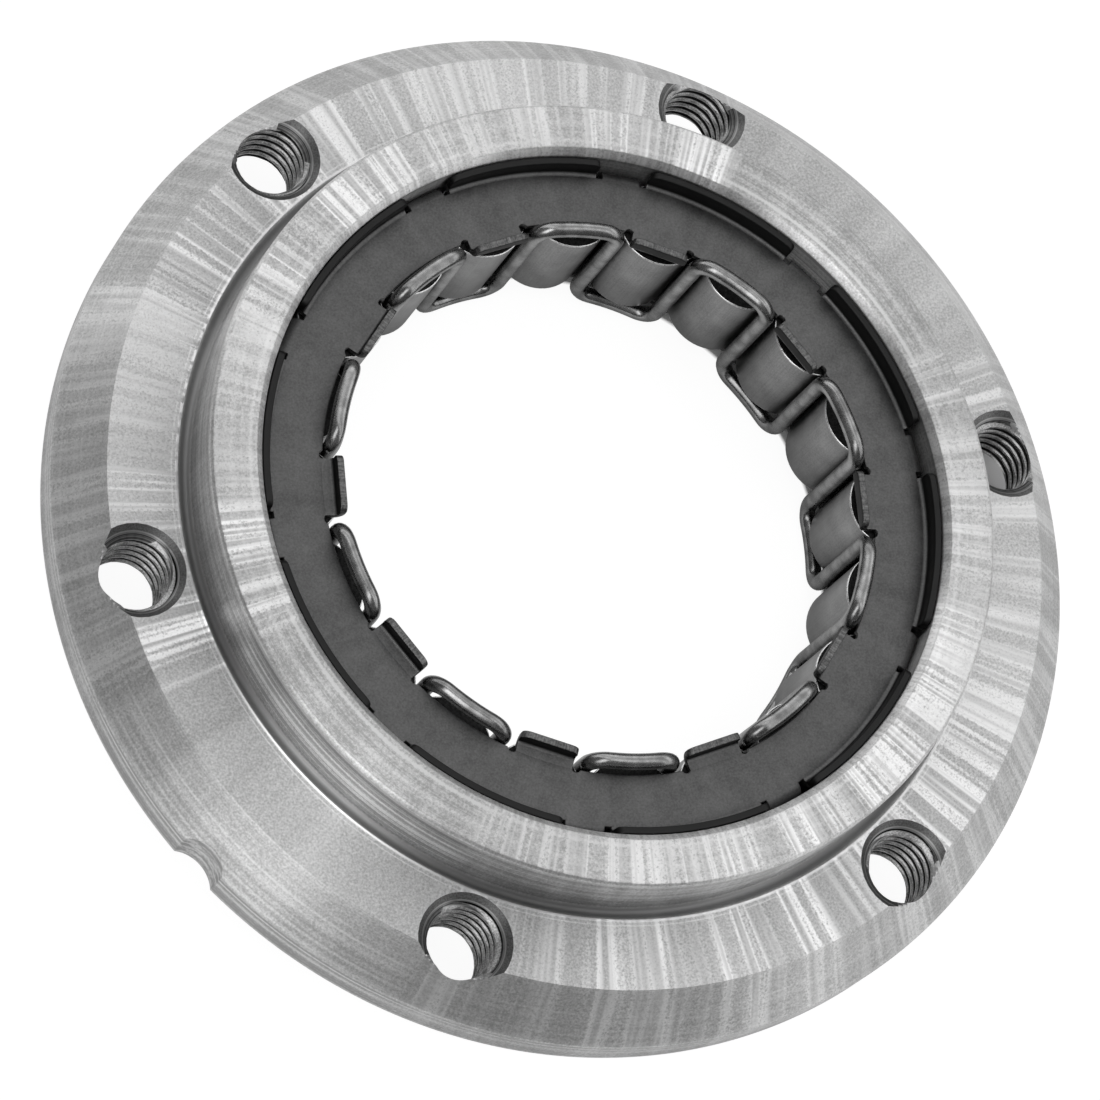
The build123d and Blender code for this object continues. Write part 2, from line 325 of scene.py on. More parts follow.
def cut_thread(tree):
    """Cut steel in the screw holes: the countersink dull and torn where the thread
    starts, the flanks of the threads pale and their roots painted black as shade.
    The distance from a hole's axis comes from the radius and from the azimuth folded
    into one sixth of a turn."""
    place, radius, height, unit = around_axis(tree)
    parts = tree.nodes.new("ShaderNodeSeparateXYZ")
    put(parts.inputs[0], unit, tree)
    turn = maths(tree, "ARCTAN2", parts.outputs[1], parts.outputs[0])
    fold = maths(tree, "SNAP", maths(tree, "ADD", turn, np.pi / 6), np.pi / 3)
    near = maths(tree, "MULTIPLY", radius, maths(tree, "COSINE", maths(tree, "SUBTRACT", turn, fold)))
    side = maths(tree, "MULTIPLY", radius, maths(tree, "SINE", maths(tree, "SUBTRACT", turn, fold)))
    off = maths(tree, "SUBTRACT", near, screw_circle * MM)
    away = maths(tree, "ADD", maths(tree, "POWER", off, 2.0), maths(tree, "POWER", side, 2.0))
    away = maths(tree, "SQRT", away)
    cone = maths(tree, "ADD", maths(tree, "SUBTRACT", away, height), (face_z - entry_cut - screw_r) * MM)
    below = ramp(tree, maths(tree, "ABSOLUTE", cone), 0.00004, 0.00008)
    shallow = maths(tree, "SUBTRACT", away, ramp(tree, height, 0.0092, 0.0098, 0.0, 0.00028))
    # Painted shade: the roots of the threads, deep in the hole, painted nearly black.
    root = maths(tree, "MULTIPLY", ramp(tree, shallow, 0.00356, 0.00362), below)
    grain = node(tree, "TexNoise", {"Vector": place, "Scale": 6400.0, "Detail": 3.0, "Roughness": 0.7})
    bare = blend(tree, ramp(tree, grain, 0.38, 0.62), grey(0.30), grey(0.70))
    dull = blend(tree, ramp(tree, grain, 0.35, 0.65), grey(0.14), grey(0.30))
    torn = blend(tree, ramp(tree, grooves(tree, away, height, 3000.0), 0.40, 0.60), grey(0.10), grey(0.55))
    dull = blend(tree, ramp(tree, away, 0.00412, 0.00418, 1.0, 0.0), dull, torn)
    bare = blend(tree, below, dull, bare)
    return {
        "Base Color": blend(tree, root, bare, grey(0.012)),
        "Roughness": ramp(tree, grain, 0.3, 0.7, 0.38, 0.52),
        "Normal": bumped(tree, grain, 0.000008),
    }


race_steel = metal("turned_bearing_steel", turned_steel)
# The threads' roots are painted black as shade.
thread_steel = metal("thread_with_painted_root_shade", cut_thread)
stations = np.arange(0, 360, 0.5)
notch_edge = np.degrees(np.arcsin(notch_half / rim_r))
close = np.degrees(notch_at) + np.concatenate([np.arange(-3.5, 3.51, 0.125), [-notch_edge, notch_edge]])
stations = np.unique(np.round(np.concatenate([stations, close]), 6))
around = np.radians(stations)
rim = rim_radius(around)
race = Shell()


def turned(shell, profile):
    """Turn a profile of radius and height about the axis: every point of the profile at
    every station round it."""
    radius, level = profile[:, :1], profile[:, 1:]
    flat = np.ones_like(around)[None, :]
    shell.grid(radius * np.cos(around), radius * np.sin(around), level * flat, wrap=True)


inner_profile = [
    (hub_r + 1.3, face_z), (hub_r + 0.95, face_z - 0.38), (hub_r + 0.65, face_z - 0.5),
    (hub_r + 0.28, face_z - 0.42), (hub_r, face_z - 0.1), (hub_r, hub_z - 0.3),
    (hub_r - 0.3, hub_z), (bore_r + 0.7, hub_z), (bore_r, hub_z - 0.7), (bore_r, 0.7),
    (bore_r + 0.7, 0.0), (register_r - 0.3, 0.0), (register_r, 0.3), (register_r, back_z),
]
turned(race, softened(inner_profile, 0.12, steps=2))


def rim_band(shell):
    """Side of the rim: from the back face round a small edge, up the band and over into
    the bevel. Each column follows the rim's own radius, so the notch runs through it."""
    turn = np.linspace(0, np.pi / 2, 4)
    rows_r = [rim - rim_round * (1 - np.sin(t)) for t in turn]
    rows_z = [back_z + rim_round * (1 - np.cos(t)) + 0 * rim for t in turn]
    top = top_height(rim)
    for share in (0.35, 0.7):
        rows_r.append(rim)
        rows_z.append(back_z + rim_round + (top - rim_round - back_z - rim_round) * share)
    for t in np.linspace(0, 1, 4):
        edge = rim_round * t * t
        rows_r.append(rim - edge)
        curve = (1 - t) ** 2 * (top - rim_round) + 2 * t * (1 - t) * top
        rows_z.append(curve + t * t * top_height(rim - rim_round))
    radius, level = np.array(rows_r), np.array(rows_z)
    shell.grid(radius * np.cos(around), radius * np.sin(around), level, wrap=True)


rim_band(race)


def at_station(degrees_list):
    """Places of some azimuths in the list of stations."""
    return np.searchsorted(stations, np.round(degrees_list, 6))


def face_sectors(shell, radii, outer, level):
    """Flange face between two screw holes: every station crossed with a list of radii
    whose last one is the rim's edge."""
    for hole_at in range(0, 360, screw_step):
        first = at_station(hole_at + patch_half)
        last = at_station(hole_at + screw_step - patch_half)
        columns = np.arange(first, last + 1)
        radius = np.array([np.full(len(columns), r) for r in radii] + [outer[columns]])
        turn = around[columns]
        shell.grid(radius * np.cos(turn), radius * np.sin(turn), level(radius))


def hole_patches(shell, radii, outer, level, cut_level, creases):
    """Flange face round each screw hole: rays from the hole's centre to the patch's edge,
    each with its own steps, so that the countersink's edge and the bevel's edge lie on
    lines of the grid. The height is the face or the countersink, whichever cuts deeper."""
    rims = []
    for hole_at in range(0, 360, screw_step):
        turn = np.radians(hole_at)
        fan = np.radians(np.arange(-patch_half, patch_half + 0.01, 0.5))
        far = outer[at_station(hole_at)]
        edge = [(far, a) for a in fan] + [(r, fan[-1]) for r in radii[::-1]]
        edge += [(radii[0], a) for a in fan[::-1][1:]] + [(r, fan[0]) for r in radii[1:]]
        edge = np.array(edge)
        edge_x, edge_y = edge[:, 0] * np.cos(edge[:, 1]), edge[:, 0] * np.sin(edge[:, 1])
        ray = np.stack([edge_x - screw_circle, edge_y], -1)
        length = np.linalg.norm(ray, axis=1)
        ray = ray / length[:, None]
        marks = creases(ray, length)
        steps = []
        for start, stop, count in zip(marks[:-1], marks[1:], (2, 3, 4)):
            share = np.linspace(0, 1, count + 1)[: None if stop is marks[-1] else -1]
            steps.append(start + (stop - start) * share[:, None])
        reach = np.concatenate(steps)
        local_x, local_y = screw_circle + ray[:, 0] * reach, ray[:, 1] * reach
        radius = np.hypot(local_x, local_y)
        height = cut_level(level(radius), reach)
        x = local_x * np.cos(turn) - local_y * np.sin(turn)
        y = local_x * np.sin(turn) + local_y * np.cos(turn)
        shell.grid(x, y, height, wrap=True, slots=np.arange(len(reach) - 1) < 2)
        rims.append((ray, height[0], turn))
    return rims


def entry_marks(ray, length):
    """Distances along each ray: the hole's wall, the countersink's edge found by halving,
    the bevel's edge where the ray meets it in between, and the patch's edge."""
    low, high = np.full(len(ray), screw_r), np.full(len(ray), screw_r + entry_cut)
    for _ in range(30):
        mid = (low + high) / 2
        radius = np.hypot(screw_circle + ray[:, 0] * mid, ray[:, 1] * mid)
        above = top_height(radius) > face_z - entry_cut + mid - screw_r
        low, high = np.where(above, mid, low), np.where(above, high, mid)
    along = screw_circle * ray[:, 0]
    crossing = -along + np.sqrt(np.clip(along**2 + bevel_r**2 - screw_circle**2, 0, None))
    second = np.clip(crossing, low + 0.02, length - 0.02)
    return [np.full(len(ray), screw_r), low + 1e-4, second, length]


def exit_marks(ray, length):
    """Distances along each ray behind the flange: wall, countersink's edge, half way and
    the patch's edge."""
    first = np.full(len(ray), screw_r)
    return [first, first + exit_cut, first + exit_cut + (length - screw_r) * 0.3, length]


def mouth_height(ray, reach):
    """Height of the flange's upper side or of the countersink, whichever is lower, at a
    distance from a hole's axis along each ray."""
    radius = np.hypot(screw_circle + ray[:, 0] * reach, ray[:, 1] * reach)
    return np.minimum(top_height(radius), face_z - entry_cut + reach - screw_r)


def thread_ridge(level, angle):
    """How far the thread stands in from its root: a triangle with a flat top, of the
    height less the turn times the pitch."""
    phase = (level / thread_pitch - angle / (2 * np.pi) - thread_phase) % 1
    away = np.abs(phase - 0.5) * thread_pitch
    return np.clip(thread_depth - flank_slope * np.clip(away - crest_half, 0, None), 0, None)


def threads(shell, rims, floors):
    """Wall of a threaded hole. The mouth's surface runs on inwards along each ray until
    it meets the thread, and from there the wall is the thread's root less the ridge.
    Under the bevel the groove starts a little below the surface. At the lower mouth a
    cone cuts the ridge back."""
    for (ray, top, turn), (back_ray, floor, _) in zip(rims, floors):
        angle = np.arctan2(ray[:, 1], ray[:, 0])
        crest = mouth_height(ray, screw_r - thread_depth)
        bevelled = top < face_z - entry_cut - 0.001
        depth = np.linspace(0, thread_depth, 60)[:, None]
        meets = depth >= thread_ridge(mouth_height(ray, screw_r - depth), angle) - 1e-9
        lip = np.linspace(0, 1, 4)[:, None] * np.where(bevelled, thread_depth, depth[meets.argmax(0), 0])
        start = mouth_height(ray, screw_r - lip[-1])
        share = np.linspace(0, 1, 80)[:, None]
        level = np.minimum(face_z - entry_cut + (floor - face_z + entry_cut) * share, start)
        drift = np.arctan2(back_ray[:, 1], back_ray[:, 0]) - angle
        drift = (drift + np.pi) % (2 * np.pi) - np.pi
        twisted = angle + drift * share
        whole = thread_depth * (1 - 0.7 * (crest - level) / np.clip(crest - top, 0.2, None))
        whole = np.minimum(whole, np.where(bevelled, thread_depth, face_z - entry_cut - level))
        whole = whole * np.mean([np.roll(bevelled, step) for step in range(-4, 5)], axis=0)
        ridge = np.minimum(np.maximum(thread_ridge(level, twisted), whole), np.clip(level - floor, 0, None))
        reach = screw_r - np.concatenate([lip, ridge])
        level = np.concatenate([mouth_height(ray, screw_r - lip), level])
        twisted = np.concatenate([angle + 0 * lip, twisted])
        local_x, local_y = screw_circle + np.cos(twisted) * reach, np.sin(twisted) * reach
        x = local_x * np.cos(turn) - local_y * np.sin(turn)
        y = local_x * np.sin(turn) + local_y * np.cos(turn)
        slots = np.ones((len(level) - 1, len(ray)), int)
        slots[:3, bevelled] = 0
        shell.grid(x, y, level, wrap=True, slots=slots)


face_radii = [hub_r + 1.3, 42.6, 44.0, 45.4, 46.8, bevel_r, 49.4, 50.6]
back_radii = [register_r, *face_radii[1:]]
face_sectors(race, face_radii, rim - rim_round, top_height)
face_sectors(race, back_radii, rim - rim_round, lambda r: back_z + 0 * r)
mouths = hole_patches(
    race, face_radii, rim - rim_round, top_height,
    lambda level, d: np.minimum(level, face_z - entry_cut + d - screw_r), entry_marks,
)
exits = hole_patches(
    race, back_radii, rim - rim_round, lambda r: back_z + 0 * r,
    lambda level, d: np.maximum(level, back_z + exit_cut - (d - screw_r)), exit_marks,
)
threads(race, mouths, exits)
race.piece("race_ring", [race_steel, thread_steel], "race", "outer_race", sharp=25.0)

# Cage. Two rings pressed from thin steel sheet and phosphated to a matt dark grey.
# Their lips run in the race's bore. The ring on the hub side has a tab over every
# second sprag, cut free by a notch at each end, and ten posts down to the other ring.


def pressed_sheet(tree):
    """Dull phosphated sheet: even dark grey with faint mottling and scuffs. The walls
    turned up from the hub-side plate are painted nearly black as shade."""
    place, radius, height, unit = around_axis(tree)
    mottle = node(tree, "TexNoise", {"Vector": place, "Scale": 420.0, "Detail": 4.0, "Roughness": 0.6})
    grain = node(tree, "TexNoise", {"Vector": place, "Scale": 5200.0, "Detail": 2.0})
    rub = streaks(tree, unit, radius, 14.0, 60.0)
    tone = maths(tree, "ADD", maths(tree, "MULTIPLY", mottle, 0.4), maths(tree, "MULTIPLY", grain, 0.4))
    tone = maths(tree, "ADD", tone, maths(tree, "MULTIPLY", rub, 0.2))
    # Painted shade: the walls above the hub-side plate's top painted nearly black.
    raised_wall_shade = ramp(tree, height, 0.01538, 0.01552)
    coated = blend(tree, ramp(tree, tone, 0.36, 0.64), grey(0.100), grey(0.175))
    return {
        "Base Color": blend(tree, raised_wall_shade, coated, grey(0.035)),
        "Roughness": ramp(tree, mottle, 0.3, 0.7, 0.42, 0.55),
        "Normal": bumped(tree, grain, 0.000012),
    }


def sheared_edge(tree):
    """Edge of the sheet where the press cut it: torn in short upright lines, with the
    steel bright at the high spots and dark between them."""
    place, _, height, unit = around_axis(tree)
    torn = streaks(tree, unit, height, 170.0, 500.0, detail=3.0, rough=0.7)
    grain = node(tree, "TexNoise", {"Vector": place, "Scale": 3600.0, "Detail": 3.0, "Roughness": 0.7})
    tone = maths(tree, "ADD", maths(tree, "MULTIPLY", torn, 0.5), maths(tree, "MULTIPLY", grain, 0.5))
    return {
        "Base Color": blend(tree, ramp(tree, tone, 0.42, 0.66), grey(0.09), grey(0.28)),
        "Roughness": ramp(tree, grain, 0.3, 0.7, 0.35, 0.5),
        "Normal": bumped(tree, tone, 0.00004),
    }


sheet_steel = metal("phosphated_sheet", pressed_sheet)
cut_steel = metal("sheared_edge", sheared_edge)
sheet, bend_in, sheet_round = 0.7, 0.4, 0.12
plate_in, plate_out, upper_level, lower_level = 28.3, 33.55, 14.6, 3.4
tab_half, tab_centre_r, notch_gap, notch_reach = 2.9, 27.55, 0.36, 0.3
post_half, post_centre_r, seat_reach = 2.002, 33.492, 33.842
lip_rise, lip_corner, tab_rise, tab_corner, post_corner = 1.9, 0.8, 1.4, 0.75, 0.3
cage_r, lip_gap_half = 34.65, 2.704
sprag_count, sprag_pitch = 20, np.radians(18.0)
lip_half = cage_r * sprag_pitch - lip_gap_half
every_tab = np.radians(27 + 36 * np.arange(10))
tab_notches = np.concatenate([every_tab + side * (tab_half + notch_gap) / plate_in for side in (-1, 1)])
every_post = np.radians(36 * np.arange(10))
seat_lean = np.arcsin(post_half / seat_reach)


def nearest(turn, places):
    """Angle from each station to the nearest of some places, between minus and plus pi."""
    off = (turn[:, None] - places[None, :] + np.pi) % (2 * np.pi) - np.pi
    return off[np.arange(len(turn)), np.abs(off).argmin(1)]


def rounded(away, radius):
    """How far a rounded corner has fallen back at a distance from its side: the radius
    less the height of the circle there."""
    short = np.clip(radius - away, 0, radius)
    return radius - np.sqrt(radius**2 - short**2)


close = np.linspace(-0.55, 0.55, 15) / plate_in
edges = np.array([-1, 1])[:, None] * seat_lean + np.array([-0.0006, 0.0006])
cage_turn = np.concatenate([
    np.radians(np.arange(360.0)),
    (tab_notches[:, None] + close).ravel(),
    (every_post[:, None] + edges.ravel()).ravel(),
])
cage_turn = np.unique(np.round(cage_turn % (2 * np.pi), 6))


def cage_plate(shell, inner, outer, base, up):
    """Flat ring of the sheet between two edges given at every station, with its four
    corners rounded: over the inner edge, out along one face and back along the other."""
    turn = np.linspace(0, np.pi / 2, 4)
    back, rise = sheet_round * (1 - np.sin(turn)), sheet_round * (1 - np.cos(turn))
    offsets = np.concatenate([back, back[::-1]])
    levels = np.concatenate([rise, sheet - rise[::-1]])
    radius = np.concatenate([inner + offsets[:, None], outer - offsets[::-1, None]])
    level = np.concatenate([levels, levels[::-1]])[:, None] + 0 * radius
    radius, level = np.vstack([radius, radius[:1]]), base + up * np.vstack([level, level[:1]])
    shell.grid(radius * np.cos(cage_turn), radius * np.sin(cage_turn), level, wrap=True)


def bent_wall(shell, centre, side, height, half, corner, angle, base, up, curved, edge=0):
    """Wall turned up from the sheet. Its outside and inside are quarter circles about one
    centre and then straight, each as rows of points, and at every station across its
    width the top falls away by the corner's circle. Near the top and the two ends the
    outside and the inside draw together, which rounds those edges. The edge is the
    material slot of the cut edges."""
    ends = np.unique(np.concatenate([sheet_round * np.array([0, 0.3, 1]), corner * np.array([0.3, 0.6, 1])]))
    flat = np.linspace(corner - half, half - corner, 12)[1:-1]
    across = np.concatenate([ends - half, flat, (half - ends)[::-1]])
    away = half - np.abs(across)
    top = height - rounded(away, corner)
    thin_end = rounded(away, sheet_round)
    wide = bend_in + sheet
    rows = [(-1.15 * side, 0.01, -1.15 * side, sheet - 0.01)]
    for turn in np.linspace(0, np.pi / 2, 7):
        low = max(0.01, wide * (1 - np.cos(turn)))
        high = max(sheet - 0.01, sheet + bend_in * (1 - np.cos(turn)) - 0.01 * np.cos(turn))
        rows.append((side * wide * np.sin(turn), low, side * bend_in * np.sin(turn), high))
    rows = [[value + 0 * across for value in row] + [thin_end] for row in rows]
    for share in (0.3, 0.65):
        level = wide + (top - sheet_round - wide) * share
        rows.append([side * wide + 0 * across, level, side * bend_in + 0 * across, level, thin_end])
    for turn in np.linspace(0, np.pi / 2, 4):
        level = top - sheet_round * (1 - np.sin(turn))
        thin = np.maximum(thin_end, sheet_round * (1 - np.cos(turn)))
        rows.append([side * wide + 0 * across, level, side * bend_in + 0 * across, level, thin])
    rows = np.array(rows)
    outside, inside, draw = rows[:, 0:2], rows[:, 2:4], rows[:, 4:5] / sheet
    outside, inside = outside + (inside - outside) * draw, inside + (outside - inside) * draw
    loop = np.concatenate([outside, inside[::-1], outside[:1]])
    count = len(rows)
    slots = edge * (np.abs(np.arange(2 * count) - (count - 1)) < 3)
    caps = [np.stack([outside[:, :, end], inside[:, :, end]]) for end in (0, -1)]
    for radius, level, width, part_slots in (
        (loop[:, 0], loop[:, 1], across, slots),
        (caps[0][..., 0], caps[0][..., 1], across[0], edge),
        (caps[1][..., 0], caps[1][..., 1], across[-1], edge),
    ):
        radius = centre + radius
        lean = width / (centre + side * wide) if curved else 0.0
        x = radius * np.cos(lean)
        y = radius * np.sin(lean) if curved else width + 0 * radius
        shell.grid(
            x * np.cos(angle) - y * np.sin(angle), x * np.sin(angle) + y * np.cos(angle),
            base + up * level, slots=part_slots,
        )


def cage_ring(name, node_name, base, up):
    """One ring: its plate and ten lips, and on the hub side the tabs and the posts. On
    the other side the plate's edge steps out a little at the foot of each post."""
    shell = Shell()
    off = nearest(cage_turn, tab_notches) * plate_in / 0.42
    cut = np.sqrt(np.clip(1 - off**2, 0, None)) * notch_reach if up > 0 else 0 * cage_turn
    lean = np.abs(nearest(cage_turn, every_post))
    seat = (lean < seat_lean) & (up < 0)
    outer = np.where(seat, seat_reach / np.cos(lean), plate_out)
    cage_plate(shell, plate_in + cut, outer, base, up)
    lip_top, tab_top, post_top = sheet + lip_rise, sheet + tab_rise, base - lower_level + sheet
    for post_turn, tab_turn in zip(every_post, every_tab):
        lip_turn = post_turn + sprag_pitch
        bent_wall(shell, plate_out, 1, lip_top, lip_half, lip_corner, lip_turn, base, up, True)
        if up > 0:
            bent_wall(shell, tab_centre_r, -1, tab_top, tab_half, tab_corner, tab_turn, base, up, False, 1)
            foot = base + sheet
            bent_wall(shell, post_centre_r, 1, post_top, post_half, post_corner, post_turn, foot, -up, False)
    shell.piece(name, [sheet_steel, cut_steel], "cage", node_name, sharp=40.0, merge=0.0002)


cage_ring("cage_hub_side", "upper_cage_ring", upper_level, 1)
cage_ring("cage_mount_side", "lower_cage_ring", lower_level, -1)

# Energizing spring. One length of hard-drawn round wire bent into a square wave that
# closes on itself, with its two ends butted in the middle of a lower run. Its legs
# stand between the sprags and its runs pass over them and under them in turn.


def drawn_wire(tree):
    """Bare drawn wire: dark, smooth and lightly mottled."""
    place = node(tree, "TexCoord", out=3)
    mottle = node(tree, "TexNoise", {"Vector": place, "Scale": 700.0, "Detail": 3.0})
    grain = node(tree, "TexNoise", {"Vector": place, "Scale": 6000.0, "Detail": 2.0})
    return {
        "Base Color": blend(tree, ramp(tree, mottle, 0.35, 0.65), grey(0.23), grey(0.41)),
        "Roughness": ramp(tree, grain, 0.3, 0.7, 0.22, 0.32),
        "Normal": bumped(tree, grain, 0.000004),
    }


wire_steel = metal("drawn_wire", drawn_wire)
wire_r, run_r, run_rise, corner_r = 0.8, 27.3008, 7.33, 1.8
end_at, end_gap = np.radians(207.0), 0.3
middle = hub_z / 2


def on_run(angle, level):
    """Point on the circle of the upper runs, for level 1, or of the lower ones, for -1."""
    angle = np.asarray(angle)
    height = middle + level * run_rise + 0 * angle
    return np.stack([run_r * np.cos(angle), run_r * np.sin(angle), height], -1)


def round_axis(angle):
    """Direction round the axis at an azimuth."""
    angle = np.asarray(angle)
    return np.stack([-np.sin(angle), np.cos(angle), 0 * angle], -1)


def wire_path():
    """Centre line as points and directions, from one butted end round to the other.
    Between two legs it is a quarter circle in the upright plane that touches the run,
    the run along its circle about the axis, and a quarter circle back down to the next
    leg."""
    lean = np.arctan2(corner_r, run_r)
    gap = end_gap / 2 / run_r
    points, ways = [on_run([end_at + gap], -1)], [round_axis([end_at + gap])]
    for leg in range(sprag_count):
        level = -1 if leg % 2 == 0 else 1
        angle = end_at + sprag_pitch * (leg + 0.5)
        for side, end_level in ((-1, level), (1, -level)):
            along = side * round_axis(angle + side * lean)
            up = np.array([0, 0, end_level])
            centre = on_run(angle + side * lean, end_level) - corner_r * up
            turn = np.linspace(0, np.pi / 2, 9)[:, None]
            arc = centre + corner_r * (up * np.sin(turn) - along * np.cos(turn))
            way = up * np.cos(turn) + along * np.sin(turn)
            if side < 0:
                arc, way = arc[::-1], -way[::-1]
            points.append(arc)
            ways.append(way)
        if leg < sprag_count - 1:
            span = np.linspace(angle + lean, angle + sprag_pitch - lean, 8)[1:-1]
            points.append(on_run(span, -level))
            ways.append(round_axis(span))
    points.append(on_run([end_at - gap], -1))
    ways.append(round_axis([end_at - gap]))
    return np.concatenate(points), np.concatenate(ways)


def swept_wire(shell, points, ways, radius, sides=20):
    """Tube round a path: a circle at each point, spanned by the outward direction made
    square to the path and by its cross product with it. Small cones close both ends."""
    out = points * np.array([1, 1, 0])
    out = out - ways * np.sum(out * ways, 1, keepdims=True)
    out /= np.linalg.norm(out, axis=1, keepdims=True)
    side = np.cross(ways, out)
    first, last = points[:1], points[-1:]
    points = np.concatenate([first, first, points, last, last])
    out = np.concatenate([out[:1], out[:1], out, out[-1:], out[-1:]])
    side = np.concatenate([side[:1], side[:1], side, side[-1:], side[-1:]])
    size = np.full(len(points), radius)
    size[[0, -1]] = 0.0
    size[[1, -2]] = radius * 0.85
    turn = np.linspace(0, 2 * np.pi, sides, endpoint=False)
    ring = out[:, None] * np.cos(turn)[:, None] + side[:, None] * np.sin(turn)[:, None]
    tube = points[:, None] + ring * size[:, None, None]
    shell.grid(tube[..., 0], tube[..., 1], tube[..., 2], wrap=True)


spring = Shell()
swept_wire(spring, *wire_path(), wire_r)
spring.piece("spring_wire", [wire_steel], "cage", "energizing_spring", sharp=50.0, merge=0.0001)

# Sprags. Twenty hardened steel struts, drawn to profile, cut off and barrelled, so
# their ends have small rounded edges. The inner cam grips the inner race, and the
# outer cam, whose centre is a little to one side, rolls on the bore.


def ground_strut(tree):
    """Satin hard steel with faint lines along the strut and a light mottling."""
    place, _, height, unit = around_axis(tree)
    lines = streaks(tree, unit, height, 200.0, 60.0, detail=2.0)
    mottle = node(tree, "TexNoise", {"Vector": place, "Scale": 380.0, "Detail": 4.0})
    grain = node(tree, "TexNoise", {"Vector": place, "Scale": 5200.0, "Detail": 2.0})
    tone = maths(tree, "ADD", maths(tree, "MULTIPLY", lines, 0.2), maths(tree, "MULTIPLY", mottle, 0.4))
    tone = maths(tree, "ADD", tone, maths(tree, "MULTIPLY", grain, 0.4))
    return {
        "Base Color": blend(tree, ramp(tree, tone, 0.36, 0.64), grey(0.22), grey(0.37)),
        "Roughness": ramp(tree, grain, 0.3, 0.7, 0.30, 0.42),
        "Normal": bumped(tree, grain, 0.000008),
    }


def shaded_strut_end(tree):
    """End of a strut, painted nearly black as shade, with fine rough grain as the cut left it."""
    place = node(tree, "TexCoord", out=3)
    grain = node(tree, "TexNoise", {"Vector": place, "Scale": 3600.0, "Detail": 3.0, "Roughness": 0.7})
    return {
        "Base Color": blend(tree, ramp(tree, grain, 0.35, 0.65), grey(0.012), grey(0.035)),
        "Roughness": 0.5,
        "Normal": bumped(tree, grain, 0.00002),
    }


def barrelled_edge_highlight(tree):
    """Rounded edge of a strut, polished by the barrelling and painted near white as a highlight, with a
    little dark grain left in it.
    """
    place = node(tree, "TexCoord", out=3)
    grain = node(tree, "TexNoise", {"Vector": place, "Scale": 4200.0, "Detail": 2.0})
    return {
        "Base Color": blend(tree, ramp(tree, grain, 0.3, 0.6), grey(0.60), grey(0.95)),
        "Roughness": ramp(tree, grain, 0.3, 0.7, 0.25, 0.35),
    }


# The struts' flat ends are painted dark as shade, and their rounded edges painted near white as highlights.
sprag_steels = [
    metal("satin_strut", ground_strut),
    metal("strut_end_painted_shade", shaded_strut_end),
    metal("strut_edge_painted_highlight", barrelled_edge_highlight),
]
inner_c, inner_cam, outer_c, outer_cam = 30.85, 4.6, 30.8, 3.9
cam_offset, cam_half, sprag_half, end_round = 0.6, np.radians(55.0), 5.4, 0.12


def sprag_outline(shrink):
    """Outline of a strut as a closed loop, pulled in by a distance: the inner cam's arc,
    a straight side, the outer cam's arc about its shifted centre, and the other side."""
    inner = np.linspace(cam_half, -cam_half, 17)
    outer = np.linspace(-cam_half, cam_half, 19)
    r_in, r_out = inner_cam - shrink, outer_cam - shrink
    low = np.stack([inner_c - r_in * np.cos(inner), r_in * np.sin(inner)], -1)
    high = np.stack([outer_c + r_out * np.cos(outer), cam_offset + r_out * np.sin(outer)], -1)
    share = np.linspace(0, 1, 4)[1:-1, None]
    right = low[-1] + (high[0] - low[-1]) * share
    left = high[-1] + (low[0] - high[-1]) * share
    return np.concatenate([low, right, high, left])


def sprag_shell(angle):
    """Strut standing at an azimuth: its outline at each height, drawn in round the edges
    of both ends, and closed at the ends by the outline shrunk to a line."""
    turn = np.linspace(0, np.pi / 2, 4)
    inset = end_round * (1 - np.sin(turn))
    rise = sprag_half - end_round * (1 - np.cos(turn))
    ends = np.array([sprag_half, sprag_half])
    levels = np.concatenate([-ends, -rise[1:], rise[:0:-1], ends])
    loops = [sprag_outline(s) for s in inset]
    rows = loops + loops[::-1]
    centre = rows[0].mean(0)
    rows = [centre + 0 * rows[0], rows[0]] + rows[1:-1] + [rows[-1], centre + 0 * rows[0]]
    x = np.array([row[:, 0] for row in rows])
    y = np.array([row[:, 1] for row in rows])
    z = middle + levels[:, None] + 0 * x
    slots = [1] + [2] * (len(loops) - 1)
    slots = slots + [0] + slots[::-1]
    shell = Shell()
    x, y = x * np.cos(angle) - y * np.sin(angle), x * np.sin(angle) + y * np.cos(angle)
    shell.grid(x, y, z, wrap=True, slots=slots)
    return shell


for index in range(sprag_count):
    name = f"sprag_{index + 1:02d}"
    strut = sprag_shell(sprag_pitch * (index + 0.5))
    strut.piece(f"strut_{index + 1:02d}", sprag_steels, f"{name}_body", name, sharp=40.0, merge=0.0001)

# Studio. A pale floor that the clutch stands on, a dome with two long strips of light
# and a softbox, and a camera with a long lens at the height of the photograph's.


